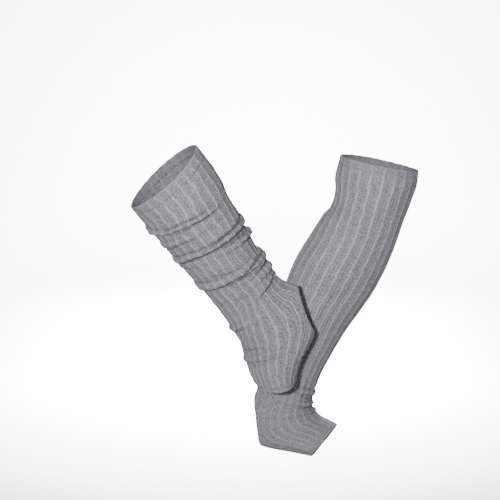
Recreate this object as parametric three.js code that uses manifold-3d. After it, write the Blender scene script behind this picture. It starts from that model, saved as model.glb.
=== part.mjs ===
// A pair of ribbed knit stirrup leg warmers, hollow, in the shape that they have when worn. The standing
// warmer is smooth from its wide top mouth down to its foot. The raised warmer, nearer a viewer in front,
// is pushed down, so that it lies in rolls. Both have an open heel. Millimetres, +Z up, +X to the right
// and -Y towards a viewer in front. The origin is the middle of the standing warmer's top mouth.

import * as THREE from "three";
import { mergeVertices } from "three/addons/utils/BufferGeometryUtils.js";
import Module from "manifold-3d";

const wasm = await Module(); wasm.setup();

// Driving dimensions
const CLOTH = 2.2; // thickness of the knit wall between the ribs
const WELT_EXTRA = 0.5; // how far the firmer welts stand out from the knit wall
const WELT_RIB_HEIGHT = 0.25; // the ribs fade out in the welts
const RIB_COUNT = 24;
const RIB_HEIGHT = 0.9;
const RIB_HALF_ANGLE = 3.2; // degrees from a rib's crest to its foot
const TOP_WELT = 14; // lengths of the finished bands at the two mouths
const FOOT_WELT = 6;
const SEAM = 0.35; // gap that neighbouring pieces keep
const RING_STEP = 24; // furthest that two rings of points lie apart
const RING_MARGIN = 2; // a fold's ring keeps this far from a piece's ends
const CREST = 0.3; // where a roll's crest lies between its middle (0) and its lower foot (1)
const SLIGHT = 4; // a roll no higher than this has fewer rings
const HEEL_CUT_RADIUS = 210; // the heel opening's edge is nearly flat, with this curve
const HEEL_CUT_SIDES = 180;
const HEEL_CUT_WIDTH = 200; // wider than the warmers' feet
const CLOTH_COLOUR = 0x94969a;
const WELT_COLOUR = 0x8c8e93;

// Sections of the standing warmer. Each has its middle (x, y, z), the lean of the tube there from straight
// down (tilt towards +X, away towards +Y, degrees), half sizes from left to right (deep) and from near
// to far (wide), and how much wider the right side is than the left (egg). Angles round a section
// start at the near side and pass the right side first.
const STANDING_SECTIONS = [
  { part: "top edge", x: 0, y: 0, z: 0, tilt: -11, away: 0, deep: 59, wide: 59, egg: 0 },
  { part: "above knee", x: -4, y: 0, z: -24, tilt: -9, away: 0, deep: 61, wide: 59, egg: 0 },
  { part: "knee", x: -12, y: 0, z: -57, tilt: -11, away: 0, deep: 58, wide: 58, egg: -0.03 },
  { part: "below knee", x: -22, y: 0, z: -86, tilt: -16, away: 0, deep: 57, wide: 55, egg: -0.05 },
  { part: "upper calf", x: -42, y: 0, z: -130, tilt: -24, away: 0, deep: 61, wide: 56, egg: -0.1 },
  { part: "calf", x: -62, y: 0, z: -168, tilt: -24, away: 0, deep: 64, wide: 57, egg: -0.12 },
  { part: "lower calf", x: -80, y: 0, z: -202, tilt: -24, away: 0, deep: 61, wide: 54, egg: -0.12 },
  { part: "under calf", x: -97, y: 0, z: -239, tilt: -24, away: 0, deep: 54, wide: 48, egg: -0.1 },
  { part: "shin", x: -111, y: 0, z: -280, tilt: -24, away: 0, deep: 46, wide: 42, egg: -0.05 },
  { part: "above ankle", x: -125, y: 0, z: -317, tilt: -24, away: 0, deep: 42, wide: 38, egg: 0 },
  { part: "ankle", x: -136, y: 0, z: -350, tilt: -20, away: 0, deep: 42, wide: 37, egg: 0.05 },
  { part: "over heel", x: -144, y: -1, z: -378, tilt: -2, away: -4, deep: 46, wide: 37, egg: 0.15 },
  { part: "heel", x: -145, y: -4, z: -399, tilt: 14, away: -9, deep: 53, wide: 36, egg: 0.15 },
  { part: "under heel", x: -136, y: -9, z: -416, tilt: 26, away: -13, deep: 54, wide: 36, egg: 0.05 },
  { part: "arch", x: -119, y: -15, z: -421, tilt: 33, away: -16, deep: 46, wide: 36, egg: -0.1 },
  { part: "instep", x: -100, y: -23, z: -423, tilt: 42, away: -18, deep: 38, wide: 37, egg: -0.2 },
  { part: "foot edge", x: -79, y: -33, z: -426, tilt: 54, away: -18, deep: 31, wide: 38, egg: -0.25 },
];

// Sections of the raised warmer, with the same columns.
const RAISED_SECTIONS = [
  { part: "top edge", x: -312, y: -145, z: -9, tilt: 42, away: 12, deep: 61, wide: 58, egg: 0.05 },
  { part: "upper calf", x: -294, y: -139, z: -33, tilt: 38, away: 12, deep: 61, wide: 57, egg: 0.1 },
  { part: "calf", x: -274, y: -131, z: -63, tilt: 36, away: 12, deep: 58, wide: 56, egg: 0.1 },
  { part: "lower calf", x: -256, y: -124, z: -92, tilt: 36, away: 11, deep: 55, wide: 53, egg: 0.1 },
  { part: "under calf", x: -238, y: -117, z: -121, tilt: 36, away: 11, deep: 51, wide: 49, egg: 0.08 },
  { part: "shin", x: -220, y: -110, z: -149, tilt: 36, away: 10, deep: 48, wide: 45, egg: 0.05 },
  { part: "above ankle", x: -202, y: -104, z: -175, tilt: 36, away: 9, deep: 48, wide: 42, egg: 0 },
  { part: "ankle", x: -187, y: -101, z: -194, tilt: 37, away: 8, deep: 50, wide: 40, egg: -0.05 },
  { part: "over heel", x: -171, y: -99, z: -206, tilt: 38, away: 7, deep: 58, wide: 38, egg: -0.15 },
  { part: "heel", x: -157, y: -97, z: -218, tilt: 34, away: 6, deep: 63, wide: 37, egg: -0.18 },
  { part: "heel back", x: -150, y: -95, z: -234, tilt: 28, away: 5, deep: 63, wide: 36, egg: -0.15 },
  { part: "under heel", x: -149, y: -93, z: -251, tilt: 24, away: 5, deep: 58, wide: 36, egg: -0.05 },
  { part: "arch", x: -152, y: -91, z: -267, tilt: 20, away: 4, deep: 50, wide: 36, egg: 0.1 },
  { part: "instep", x: -156, y: -89, z: -284, tilt: 16, away: 4, deep: 41, wide: 37, egg: 0.15 },
  { part: "lower instep", x: -158, y: -87, z: -301, tilt: 12, away: 4, deep: 34, wide: 38, egg: 0.2 },
  { part: "foot edge", x: -155, y: -86, z: -320, tilt: 10, away: 4, deep: 28, wide: 38, egg: 0.2 },
];

// Rolls and creases of cloth, from the top down. left, near and right give each one's place in mm down
// the warmer's line at those three sides, half is its half length along that line, and l, n, r and f are
// its heights at the left, near, right and far sides.
const RAISED_FOLDS = [
  { roll: "first", left: 48, near: 61, right: 64, half: 8, l: 4.4, n: 2, r: 0.4, f: 3 },
  { roll: "second", left: 76, near: 80, right: 86, half: 8, l: 4, n: 1, r: 0.6, f: 2 },
  { roll: "long", left: 103, near: 107, right: 113, half: 8, l: 3.2, n: 2.8, r: 5.5, f: 4 },
  { roll: "right small", left: 120, near: 125, right: 134, half: 7, l: 1, n: 1.2, r: 4.5, f: 3 },
  { roll: "great", left: 159, near: 163, right: 160, half: 12.5, l: 3, n: 2.8, r: 7, f: 4.5 },
  { roll: "ankle", left: 184, near: 189, right: 194, half: 8, l: 1, n: 0.8, r: 4, f: 3 },
  { roll: "heel crease", left: 206, near: 214, right: 213, half: 8, l: 1, n: 1, r: 3.4, f: 3 },
  { roll: "instep", left: 235, near: 240, right: 246, half: 6, l: 3, n: 0.8, r: 0, f: 0.8 },
  { roll: "low instep", left: 298, near: 303, right: 306, half: 9, l: 3, n: 0.6, r: 0, f: 0.8 },
];

const STANDING_FOLDS = [
  { roll: "shin end", left: 355, near: 359, right: 363, half: 8, l: 0.8, n: 1, r: 2.4, f: 1 },
  { roll: "ankle crease", left: 374, near: 380, right: 385, half: 9, l: 0.6, n: 1, r: 3, f: 1 },
  { roll: "tongue", left: 398, near: 403, right: 409, half: 10, l: 0, n: 0.8, r: 2.6, f: 0.8 },
];

// legs are the stretches of each warmer's leg, from the top down, and where each ends at the left, near
// and right sides. The last one ends at the foot. The heel opening lies beyond a nearly flat cut: x, y
// and z are a point on its edge, turn is the way it faces, up from +X, and swing turns that about Z, in
// degrees.
const WARMERS = [
  {
    name: "standing", sections: STANDING_SECTIONS, folds: STANDING_FOLDS,
    legs: [
      { stretch: "upper_leg", left: 172, near: 172, right: 172 },
      { stretch: "lower_leg", left: 345, near: 345, right: 345 },
    ],
    heel: { x: -187, y: -27, z: -396, turn: 193, swing: -18 },
  },
  {
    name: "raised", sections: RAISED_SECTIONS, folds: RAISED_FOLDS,
    legs: [
      { stretch: "upper_leg", left: 38.5, near: 51.5, right: 54.5 },
      { stretch: "upper_rolls", left: 89.5, near: 93.5, right: 99.5 },
      { stretch: "middle_leg", left: 143.5, near: 143.5, right: 143.5 },
      { stretch: "lower_leg", left: 226, near: 226, right: 226 },
    ],
    heel: { x: -117, y: -96, z: -203, turn: 20, swing: 0 },
  },
];

const radians = THREE.MathUtils.degToRad;

// Distances of the sections down the warmer's line.
function distancesDown(sections) {
  const middles = sections.map((s) => new THREE.Vector3(s.x, s.y, s.z));
  const down = [0];
  for (let i = 1; i < middles.length; i += 1) down.push(down[i - 1] + middles[i].distanceTo(middles[i - 1]));
  return down;
}

// A smooth value of one column of the section table, at a distance down the warmer's line.
function columnAt(warmer, column, at) {
  const { down, sections } = warmer;
  const last = down.length - 1;
  let i = 0;
  while (i < last - 1 && at > down[i + 1]) i += 1;
  const value = (k) => sections[k][column];
  const slope = (k) => {
    const before = Math.max(k - 1, 0);
    const after = Math.min(k + 1, last);
    return (value(after) - value(before)) / (down[after] - down[before]);
  };
  const span = down[i + 1] - down[i];
  const t = (at - down[i]) / span;
  if (t < 0) return value(0) + slope(0) * (at - down[0]);
  if (t > 1) return value(last) + slope(last) * (at - down[last]);
  const a = 2 * t ** 3 - 3 * t ** 2 + 1;
  const b = t ** 3 - 2 * t ** 2 + t;
  const c = t ** 3 - t ** 2;
  return a * value(i) + b * span * slope(i) + (1 - a) * value(i + 1) + c * span * slope(i + 1);
}

// A ring's distance down the warmer's line at an angle, from its values at the left, near and right.
function placeAt(ring, angle) {
  const sides = (ring.left + ring.right) / 2;
  const swing = (ring.right - ring.left) / 2;
  return ring.near + swing * Math.sin(angle) + (sides - ring.near) * (1 - Math.cos(angle));
}

// A fold's height at an angle, eased between its four sides.
function heightAt(fold, angle) {
  const [s, c] = [Math.sin(angle), Math.cos(angle)];
  return (s > 0 ? fold.r : fold.l) * s * s + (c > 0 ? fold.n : fold.f) * c * c;
}

// How far all the folds together lift the cloth at a place. A roll sags, so its lower side is steeper.
function liftAt(warmer, at, angle) {
  let lift = 0;
  for (const fold of warmer.folds) {
    const off = (at - placeAt(fold, angle)) / fold.half;
    const share = off < CREST ? (off + 1) / (CREST + 1) : (1 - off) / (1 - CREST);
    if (share > 0) lift += heightAt(fold, angle) * share * (2 - share);
  }
  return lift;
}

// A point of the cloth's outer face between the ribs.
function clothPoint(warmer, at, angle) {
  const get = (column) => columnAt(warmer, column, at);
  const [tilt, away] = [radians(get("tilt")), radians(get("away"))];
  const across = new THREE.Vector3(Math.cos(tilt), 0, Math.sin(tilt));
  const towards = new THREE.Vector3(
    Math.sin(away) * Math.sin(tilt), -Math.cos(away), -Math.sin(away) * Math.cos(tilt));
  const [s, c] = [Math.sin(angle), Math.cos(angle)];
  const [deep, wide] = [get("deep"), get("wide")];
  const lift = liftAt(warmer, at, angle);
  const side = across.clone().multiplyScalar(s / deep).addScaledVector(towards, c / wide).normalize();
  return new THREE.Vector3(get("x"), get("y"), get("z"))
    .addScaledVector(across, deep * s)
    .addScaledVector(towards, wide * c * (1 + get("egg") * s))
    .addScaledVector(side, lift);
}

// The cloth's outward direction, from points close around a place.
function outwardAt(warmer, at, angle) {
  const [along, round] = [1.2, 0.02];
  const down = clothPoint(warmer, at + along, angle).sub(clothPoint(warmer, at - along, angle));
  const turn = clothPoint(warmer, at, angle + round).sub(clothPoint(warmer, at, angle - round));
  return down.cross(turn).normalize();
}

const SIDES = ["left", "near", "right"];
const level = (at) => ({ left: at, near: at, right: at });
const moved = (ring, by) => ({ left: ring.left + by, near: ring.near + by, right: ring.right + by });

// Rings of a piece: its two ends, the foot, side and crest of each fold, and more where they lie far apart.
function ringsBetween(warmer, from, to) {
  const within = (ring, side) => ring[side] > from[side] + RING_MARGIN && ring[side] < to[side] - RING_MARGIN;
  const inside = (ring) => SIDES.every((side) => within(ring, side));
  const marks = [from];
  for (const fold of warmer.folds) {
    const slight = Math.max(fold.l, fold.n, fold.r, fold.f) <= SLIGHT;
    for (const share of slight ? [-1, CREST, 1] : [-1, -0.4, CREST, 0.75, 1]) {
      const ring = moved(fold, share * fold.half);
      if (inside(ring)) marks.push(ring);
    }
  }
  marks.push(to);
  const rings = [marks[0]];
  for (let i = 1; i < marks.length; i += 1) {
    const [a, b] = [marks[i - 1], marks[i]];
    const count = Math.ceil(Math.max(...SIDES.map((side) => b[side] - a[side])) / RING_STEP);
    for (let k = 1; k <= count; k += 1) {
      const mix = (side) => a[side] + ((b[side] - a[side]) * k) / count;
      rings.push({ left: mix("left"), near: mix("near"), right: mix("right") });
    }
  }
  return rings;
}

// A tube of cloth between two rings. Its outer face has each rib's foot, crest and foot, and its inner
// face is plain, with one point to a rib.
function clothTube(warmer, from, to, { extra = 0, ribs = RIB_HEIGHT } = {}) {
  const rings = ringsBetween(warmer, from, to);
  const outerCount = 3 * RIB_COUNT;
  const positions = [];
  const faces = [];
  for (const ring of rings) {
    for (let rib = 0; rib < RIB_COUNT; rib += 1) {
      for (const step of [-1, 0, 1]) {
        const angle = radians((360 / RIB_COUNT) * rib + step * RIB_HALF_ANGLE);
        const at = placeAt(ring, angle);
        const rise = extra + (step === 0 ? ribs : 0);
        const point = clothPoint(warmer, at, angle).addScaledVector(outwardAt(warmer, at, angle), rise);
        positions.push(point.x, point.y, point.z);
      }
    }
    for (let rib = 0; rib < RIB_COUNT; rib += 1) {
      const angle = radians((360 / RIB_COUNT) * rib);
      const at = placeAt(ring, angle);
      const point = clothPoint(warmer, at, angle).addScaledVector(outwardAt(warmer, at, angle), -CLOTH);
      positions.push(point.x, point.y, point.z);
    }
  }
  const perRing = outerCount + RIB_COUNT;
  const outer = (ring, i) => ring * perRing + ((i + outerCount) % outerCount);
  const inner = (ring, i) => ring * perRing + outerCount + (i % RIB_COUNT);
  for (let r = 0; r + 1 < rings.length; r += 1) {
    for (let i = 0; i < outerCount; i += 1) {
      faces.push(outer(r, i), outer(r + 1, i), outer(r + 1, i + 1));
      faces.push(outer(r, i), outer(r + 1, i + 1), outer(r, i + 1));
    }
    for (let i = 0; i < RIB_COUNT; i += 1) {
      faces.push(inner(r, i), inner(r + 1, i + 1), inner(r + 1, i));
      faces.push(inner(r, i), inner(r, i + 1), inner(r + 1, i + 1));
    }
  }
  // At each end, three outer edges meet one inner edge. Outer point 3i + 1 is rib i's crest.
  const rim = (r, turned) => {
    const add = (a, b, c) => faces.push(...(turned ? [a, c, b] : [a, b, c]));
    for (let i = 0; i < RIB_COUNT; i += 1) {
      const crest = 3 * i + 1;
      add(inner(r, i), outer(r, crest), outer(r, crest + 1));
      add(inner(r, i), outer(r, crest + 1), inner(r, i + 1));
      add(inner(r, i + 1), outer(r, crest + 1), outer(r, crest + 2));
      add(inner(r, i + 1), outer(r, crest + 2), outer(r, crest + 3));
    }
  };
  rim(0, false);
  rim(rings.length - 1, true);
  const geometry = new THREE.BufferGeometry();
  geometry.setAttribute("position", new THREE.Float32BufferAttribute(positions, 3));
  geometry.setIndex(faces);
  return geometry;
}

function toSolid(geometry) {
  const bare = geometry.clone();
  bare.deleteAttribute("normal");
  bare.deleteAttribute("uv");
  const merged = mergeVertices(bare, 1e-4);
  return new wasm.Manifold(new wasm.Mesh({
    numProp: 3,
    vertProperties: merged.attributes.position.array,
    triVerts: new Uint32Array(merged.index.array),
  }));
}

function toGeometry(solid) {
  const mesh = solid.getMesh();
  const geometry = new THREE.BufferGeometry();
  const positions = new Float32Array(mesh.numVert * 3);
  for (let i = 0; i < mesh.numVert; i += 1) {
    positions.set(mesh.vertProperties.subarray(i * mesh.numProp, i * mesh.numProp + 3), i * 3);
  }
  geometry.setAttribute("position", new THREE.BufferAttribute(positions, 3));
  geometry.setIndex(new THREE.BufferAttribute(mesh.triVerts, 1));
  return geometry;
}

// The foot's tube with its heel opening, cut by a wide round that lies across the heel.
function cutHeel(geometry, heel) {
  const round = new THREE.CylinderGeometry(
    HEEL_CUT_RADIUS, HEEL_CUT_RADIUS, HEEL_CUT_WIDTH, HEEL_CUT_SIDES);
  const facing = new THREE.Matrix4()
    .makeTranslation(heel.x, heel.y, heel.z)
    .multiply(new THREE.Matrix4().makeRotationZ(radians(heel.swing)))
    .multiply(new THREE.Matrix4().makeRotationY(-radians(heel.turn)))
    .multiply(new THREE.Matrix4().makeTranslation(HEEL_CUT_RADIUS, 0, 0));
  round.applyMatrix4(facing);
  return toGeometry(toSolid(geometry).subtract(toSolid(round)));
}

const knit = new THREE.MeshStandardMaterial({ color: CLOTH_COLOUR, roughness: 0.95, metalness: 0 });
const welt = new THREE.MeshStandardMaterial({ color: WELT_COLOUR, roughness: 0.95, metalness: 0 });
const pair = new THREE.Group();

function addPiece(name, geometry, material) {
  geometry.computeVertexNormals();
  const mesh = new THREE.Mesh(geometry, material);
  mesh.name = name;
  pair.add(mesh);
}

for (const warmer of WARMERS) {
  warmer.down = distancesDown(warmer.sections);
  const length = warmer.down[warmer.down.length - 1];
  const firm = { extra: WELT_EXTRA, ribs: WELT_RIB_HEIGHT };
  const { name, legs, heel } = warmer;
  addPiece(`${name}_top_welt`, clothTube(warmer, level(0), level(TOP_WELT), firm), welt);
  let start = level(TOP_WELT + SEAM);
  for (const leg of legs) {
    addPiece(`${name}_${leg.stretch}`, clothTube(warmer, start, leg), knit);
    start = moved(leg, SEAM);
  }
  const hem = level(length - FOOT_WELT);
  addPiece(`${name}_foot`, cutHeel(clothTube(warmer, start, moved(hem, -SEAM)), heel), knit);
  addPiece(`${name}_foot_welt`, clothTube(warmer, hem, level(length), firm), welt);
}

export default pair;
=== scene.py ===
# A pair of grey rib-knit stirrup leg warmers, hollow, in the shape that they have when worn. Each warmer is a
# knitted tube with raised ribs, rolls and creases, an open heel and a firm band at each mouth. The section
# tables are in millimetres in the frame's own axes, and every object is made in metres.

import math

import bpy
import numpy as np
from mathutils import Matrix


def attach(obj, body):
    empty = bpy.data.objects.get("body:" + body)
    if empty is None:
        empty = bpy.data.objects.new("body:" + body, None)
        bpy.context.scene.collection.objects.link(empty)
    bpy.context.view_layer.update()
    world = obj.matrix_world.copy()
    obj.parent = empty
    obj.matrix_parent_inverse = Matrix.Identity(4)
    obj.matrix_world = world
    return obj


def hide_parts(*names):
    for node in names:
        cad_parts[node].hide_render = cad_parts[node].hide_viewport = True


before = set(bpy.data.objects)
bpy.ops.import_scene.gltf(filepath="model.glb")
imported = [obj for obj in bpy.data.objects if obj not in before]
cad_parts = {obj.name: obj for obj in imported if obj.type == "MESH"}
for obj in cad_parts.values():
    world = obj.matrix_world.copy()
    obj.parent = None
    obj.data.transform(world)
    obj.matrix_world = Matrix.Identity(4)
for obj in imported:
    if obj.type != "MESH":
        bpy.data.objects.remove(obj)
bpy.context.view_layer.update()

MM = 0.001
FULL_TURN = 2 * math.pi

# The photograph's camera
CAMERA_PLACE = (-0.19425, -1.50146, 0.1159)
CAMERA_PITCH = 80.5
CAMERA_LENS = 72.0
CAMERA_SENSOR = 36.0
CAMERA_REACH = 50

# Driving sizes of the knit, in millimetres
CLOTH = 2.2
RIB_COUNT = 24
RIB_HEIGHT = 1.0
FINE_RIB_HEIGHT = 0.2
TOP_WELT = 14.0
FOOT_WELT = 6.0
WELT_EXTRA = 0.25
SEAM = 0.02
HEEL_CUT_RADIUS = 210.0

# Painted shade that darkens the plain inner face, as a share of a deep fold's painted shade, and how much of
# the outer face's painted rib light and painted shade it shows. The heel opening's rounded edge gets painted
# shade and stands out by a share of the cloth
INSIDE_SHADE = 0.45
INSIDE_PAINTED_SHARE = 0.5
RIM_SHADE = 0.35
RIM_ROUNDING = 0.45

# The smooth courses through the tables run past both mouths and are eased over a few millimetres
COURSE_MARGIN = 24
EASE_WIDTH = 6.0
EASE_REACH = 18

# Waves of the ribs' course: the millimetres down and the turns round that go into each, and its share
RIB_WAVES = ((14, 2, 1.0), (5.3, 5, 0.5), (3.4, 11, 0.4))

# A rib's crest and foot and the fine rib's reach, as shares of the way from rib to rib
RIB_CREST = 0.05
RIB_FOOT = 0.23
FINE_RIB_REACH = 0.24

# Where the ribs fade, in mm: below the top mouth, above the foot mouth and round the taut foot
TOP_FADE = (5, 32)
FOOT_FADE = (400, 370)
MOUTH_FADE = 6
MOUTH_RIBS = 0.35

# The least that the fine lines between the ribs show
FINE_LEAST = 0.15

# The heel opening's hem, in mm from its edge: where the ribs fade and where its soft lip stands out
HEM_FADE = (0.5, 4.5)
HEM_HEIGHT = 0.5
HEM_PLACE = 1.6
HEM_WIDTH = 1.5

# Creases and ripples fade towards the two welts, over these millimetres
TOP_EASE = 12
FOOT_EASE = 5

# Rolls: the waves round each crest and each height, as count and height, how round a roll is, how far it sags
# for its height, the height at which its fold lines are at their deepest and darkest, and those lines' width,
# depth and painted shade
CREST_WAVES = ((3, 0.8), (7, 0.5))
HEIGHT_WAVES = ((5, 0.12), (9, 0.08))
HEIGHT_START = 0.3
ROLL_ROUNDNESS = 0.85
ROLL_SAG = 0.22
FULL_ROLL = 2.8
FOLD_BELOW = {"width": 1.6, "depth": 1.1, "shade": 1.0}
FOLD_ABOVE = {"width": 1.5, "depth": 0.8, "shade": 0.75}

# Creases: how they fade at their ends and wander, their raised lips, in half widths from the middle, and the
# painted shade in them and round them
CREASE_FADE = 0.75
CREASE_WANDER = 0.7
CREASE_WAVE = 0.11
LIP_PLACE = 2
LIP_SHARE = 0.25
DARKEST_CREASE = 2.2
CREASE_SHADE = 0.5
HALO_SHADE = 0.08
HALO_WIDTH = 3

# The cloth's slow unevenness: a sum of waves round it that twist down it, swell and fade
RIPPLE_WAVES = 6
RIPPLE_TWIST = 0.043
RIPPLE_START = 1.7
RIPPLE_DOWN = 0.031
RIPPLE_SHIFT = 2.1
RIPPLE_PEAK = 1.4

# The welts' sections: steps round the mouth, along the inner and along the outer face. Their mouths wander a
# little, are scalloped by the ribs and have a painted highlight along their edge
MOUTH_STEPS = 8
INNER_STEPS = 5
OUTER_STEPS = 7
WELT_WANDER = 0.35
WELT_WAVES = 3
WELT_START = 0.7
WELT_SCALLOP = 0.2
EDGE_LIGHT = 0.3
EDGE_LIGHT_REACH = (0.85, 0.98)

# Where rows of points follow a roll, as shares of its reach, how far they keep from the tube's ends, and the
# least step between them
ROLL_MARKS = (-1.0, -0.5, 0.0, 0.5, 1.0, 1.35)
END_CLEARANCE = 3
LEAST_STEP = 0.8

# Where the knit's columns of points lie in each rib's share of the round, with the rib's crest at 0
RIB_POINTS = (0.0, 0.1, 0.22, 0.5, 0.78, 0.9)

# Middle (x, y, z), the tube's lean from straight down towards +X and +Y, half sizes from left to right
# (deep) and from near to far (wide), and how much wider the right side is than the left (egg)
SECTION_COLUMNS = ("x", "y", "z", "tilt", "away", "deep", "wide", "egg")
STANDING_SECTIONS = (
    (0, 0, 0, -11, 0, 59, 59, 0),
    (-4, 0, -24, -9, 0, 61, 59, 0),
    (-12, 0, -57, -11, 0, 58, 58, -0.03),
    (-22, 0, -86, -16, 0, 57, 55, -0.05),
    (-42, 0, -130, -24, 0, 61, 56, -0.1),
    (-62, 0, -168, -24, 0, 64, 57, -0.12),
    (-80, 0, -202, -24, 0, 61, 54, -0.12),
    (-97, 0, -239, -24, 0, 54, 48, -0.1),
    (-111, 0, -280, -24, 0, 46, 42, -0.05),
    (-125, 0, -317, -24, 0, 42, 38, 0),
    (-136, 0, -350, -20, 0, 42, 37, 0.05),
    (-144, -1, -378, -2, -4, 46, 37, 0.15),
    (-145, -4, -399, 14, -9, 53, 36, 0.15),
    (-136, -9, -416, 26, -13, 54, 36, 0.05),
    (-119, -15, -421, 33, -16, 46, 36, -0.1),
    (-100, -23, -423, 42, -18, 38, 37, -0.2),
    (-79, -33, -426, 54, -18, 31, 38, -0.25),
)
RAISED_SECTIONS = (
    (-312, -145, -9, 42, 12, 61, 58, 0.05),
    (-294, -139, -33, 38, 12, 61, 57, 0.1),
    (-274, -131, -63, 36, 12, 58, 56, 0.1),
    (-256, -124, -92, 36, 11, 55, 53, 0.1),
    (-238, -117, -121, 36, 11, 51, 49, 0.08),
    (-220, -110, -149, 36, 10, 48, 45, 0.05),
    (-202, -104, -175, 36, 9, 48, 42, 0),
    (-187, -101, -194, 37, 8, 50, 40, -0.05),
    (-171, -99, -206, 38, 7, 58, 38, -0.15),
    (-157, -97, -218, 34, 6, 63, 37, -0.18),
    (-150, -95, -234, 28, 5, 63, 36, -0.15),
    (-149, -93, -251, 24, 5, 58, 36, -0.05),
    (-152, -91, -267, 20, 4, 50, 36, 0.1),
    (-156, -89, -284, 16, 4, 41, 37, 0.15),
    (-158, -87, -301, 12, 4, 34, 38, 0.2),
    (-155, -86, -320, 10, 4, 28, 38, 0.2),
)

# Rolls of slack cloth: where the crest passes the left, near and right sides (mm down the warmer's line), the
# reach above and below the crest at the sides, how much shorter the reach is at the near side, the height
# at the left, near, right and far sides, and how sharp the fold lines above and below are. The wide rolls
# of negative height are hollows where the cloth lies closer
ROLL_COLUMNS = ("left", "near", "right", "above", "below", "pinch", "l", "n", "r", "f", "line")
RAISED_ROLLS = (
    (45, 61.5, 62, 7, 6.5, 0.45, 4.8, 2.1, 0.2, 3, 0.8),
    (79, 78, 84, 8, 6, 0.2, 2.8, 0.9, 0.3, 2, 0.5),
    (105, 107, 116, 8, 8, 0.4, 3.0, 2.9, 3.4, 3.5, 1.0),
    (117, 122, 135, 6, 6, 0.2, 2.0, 0.5, 5.6, 3, 0.35),
    (156, 163, 168, 11, 8, 0.3, 3.4, 2.8, 0.5, 1.5, 0.8),
    (176, 177, 175, 11, 9, 0.2, 0, 0.2, 6.8, 4.0, 0.35),
    (190, 190, 194, 8, 7, 0.2, 0.4, 0.4, 4.8, 3, 0.2),
    (206, 210, 207, 7, 6, 0.1, 0.4, 0.3, 1.4, 2.5, 0.1),
    (236, 239, 243, 6, 5, 0.1, 2.8, 0.4, 0, 0.6, 0.4),
    (309, 309, 310, 9, 8, 0.1, 3.4, 0.4, 0, 0.8, 0.3),
    (338, 338, 338, 26, 24, 0, 1.2, 0, 0, 0, 0),
    (75, 78, 80, 24, 20, 0, 0, 0, -2.4, 0, 0),
    (235, 235, 235, 70, 55, 0, -1.8, 0, 0, 0, 0),
)
STANDING_ROLLS = (
    (362, 366, 370, 6, 5, 0.1, 0.5, 0.5, 3.0, 0.8, 0.8),
    (385, 390, 398, 9, 6, 0.1, 0.4, 0.6, 3.6, 1, 0.8),
    (410, 417, 427, 8, 7, 0.1, 0, 0.5, 2.4, 0.6, 0.8),
    (74, 74, 74, 36, 28, 0, -4.0, 0, 0, 0, 0),
    (122, 122, 122, 38, 45, 0, 0, 0, 1.6, 0, 0),
)

# Creases: the middle's place (mm down the warmer's line) and angle from the near side, the half length in
# degrees, the slope in mm per degree, the half width, and the depth, which is negative for a soft ridge
CREASE_COLUMNS = ("at", "angle", "reach", "slope", "width", "depth")
RAISED_CREASES = (
    (66, -5, 44, 0.06, 2.0, 1.1),
    (55.5, -8, 40, 0.08, 1.8, 0.7),
    (80.5, -38, 32, 0.0, 1.8, 0.9),
    (107, 42, 56, 0.06, 1.3, 1.5),
    (114, 10, 72, 0.09, 1.9, 1.6),
    (124, 45, 44, 0.2, 1.8, 0.9),
    (149, -18, 30, 0.24, 2.4, 0.7),
    (168, 58, 42, 0.0, 1.4, 1.9),
    (169.5, -14, 46, 0.12, 2.0, 1.3),
    (184, 96, 22, 0.05, 2.0, 2.0),
    (178, 40, 34, 0.1, 2.0, 0.7),
    (197, -8, 14, 0.3, 2.0, 0.6),
    (209.5, 54, 40, -0.13, 1.7, 2.4),
    (230, 72, 12, -0.7, 2.2, 0.8),
    (241, -60, 22, 0.03, 2.0, 0.6),
    (285, -58, 28, 0.1, 2.0, 1.4),
    (323, -52, 22, 0.1, 2.4, 0.5),
    (96, 190, 60, 0.05, 2.2, 1.3),
    (127, 150, 50, -0.06, 2.2, 1.4),
    (150, 200, 44, 0.08, 2.4, 1.0),
    (176, 160, 56, 0.04, 2.2, 1.6),
    (201, 140, 40, 0.1, 2.2, 1.4),
    (72, 220, 36, -0.05, 2.0, 1.0),
    (262, 215, 34, 0.08, 2.4, 0.8),
)
STANDING_CREASES = (
    (380, 60, 34, 0.06, 2.2, 1.2),
    (407, 62, 36, 0.08, 2.4, 1.3),
    (362, 40, 24, 0.1, 2.2, 0.5),
    (377, 130, 30, -0.06, 2.2, 0.9),
    (404, 125, 30, -0.08, 2.4, 0.9),
    (88, -120, 36, 0.05, 4.5, 0.7),
    (70, -140, 30, -0.06, 4.0, 0.5),
)

# How the ribs run down each warmer: where (mm down its line), how far they are turned, how far they are drawn
# to its front, both in degrees, and how much wider apart they are at the near side
RIB_COLUMNS = ("down", "turn", "draw", "widen")
RAISED_RIBS = (
    (0, -4, 0, 0),
    (45, -1, 0, 0),
    (75, -4, 0, 0),
    (130, -2, 0, 0),
    (204, 1, -4, 0),
    (228, 2, 4, 0),
    (248, 2, 14, 0),
    (266, 2, 23, 0),
    (284, 2, 26, 0),
    (301, 2, 25, 0),
    (335, 2, 19, 0),
    (352, 2, 14, 0),
    (371, 2, 9, 0),
)
STANDING_RIBS = (
    (0, 0, 0, 0.065),
    (60, 3, 0, 0.06),
    (125, 8, 0, 0.02),
    (150, 9, 0, 0),
    (300, 10, 0, 0),
    (500, 10, 0, 0),
)

# Where the fine lines between the ribs show more than the ribs: the middle's place and angle, the reach
# down the warmer in mm and round it in degrees, and how much they show
FINE_COLUMNS = ("at", "angle", "along", "round", "share")
RAISED_FINE = (
    (35, 68, 50, 24, 0.8),
    (30, -72, 60, 26, 0.6),
    (140, 30, 50, 40, 0.4),
    (245, 42, 42, 34, 1.0),
    (300, 60, 40, 40, 0.6),
)
STANDING_FINE = (
    (95, 62, 90, 30, 0.9),
    (170, -62, 70, 24, 0.6),
    (290, 10, 90, 80, 0.7),
    (400, -50, 40, 50, 0.8),
)

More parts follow.
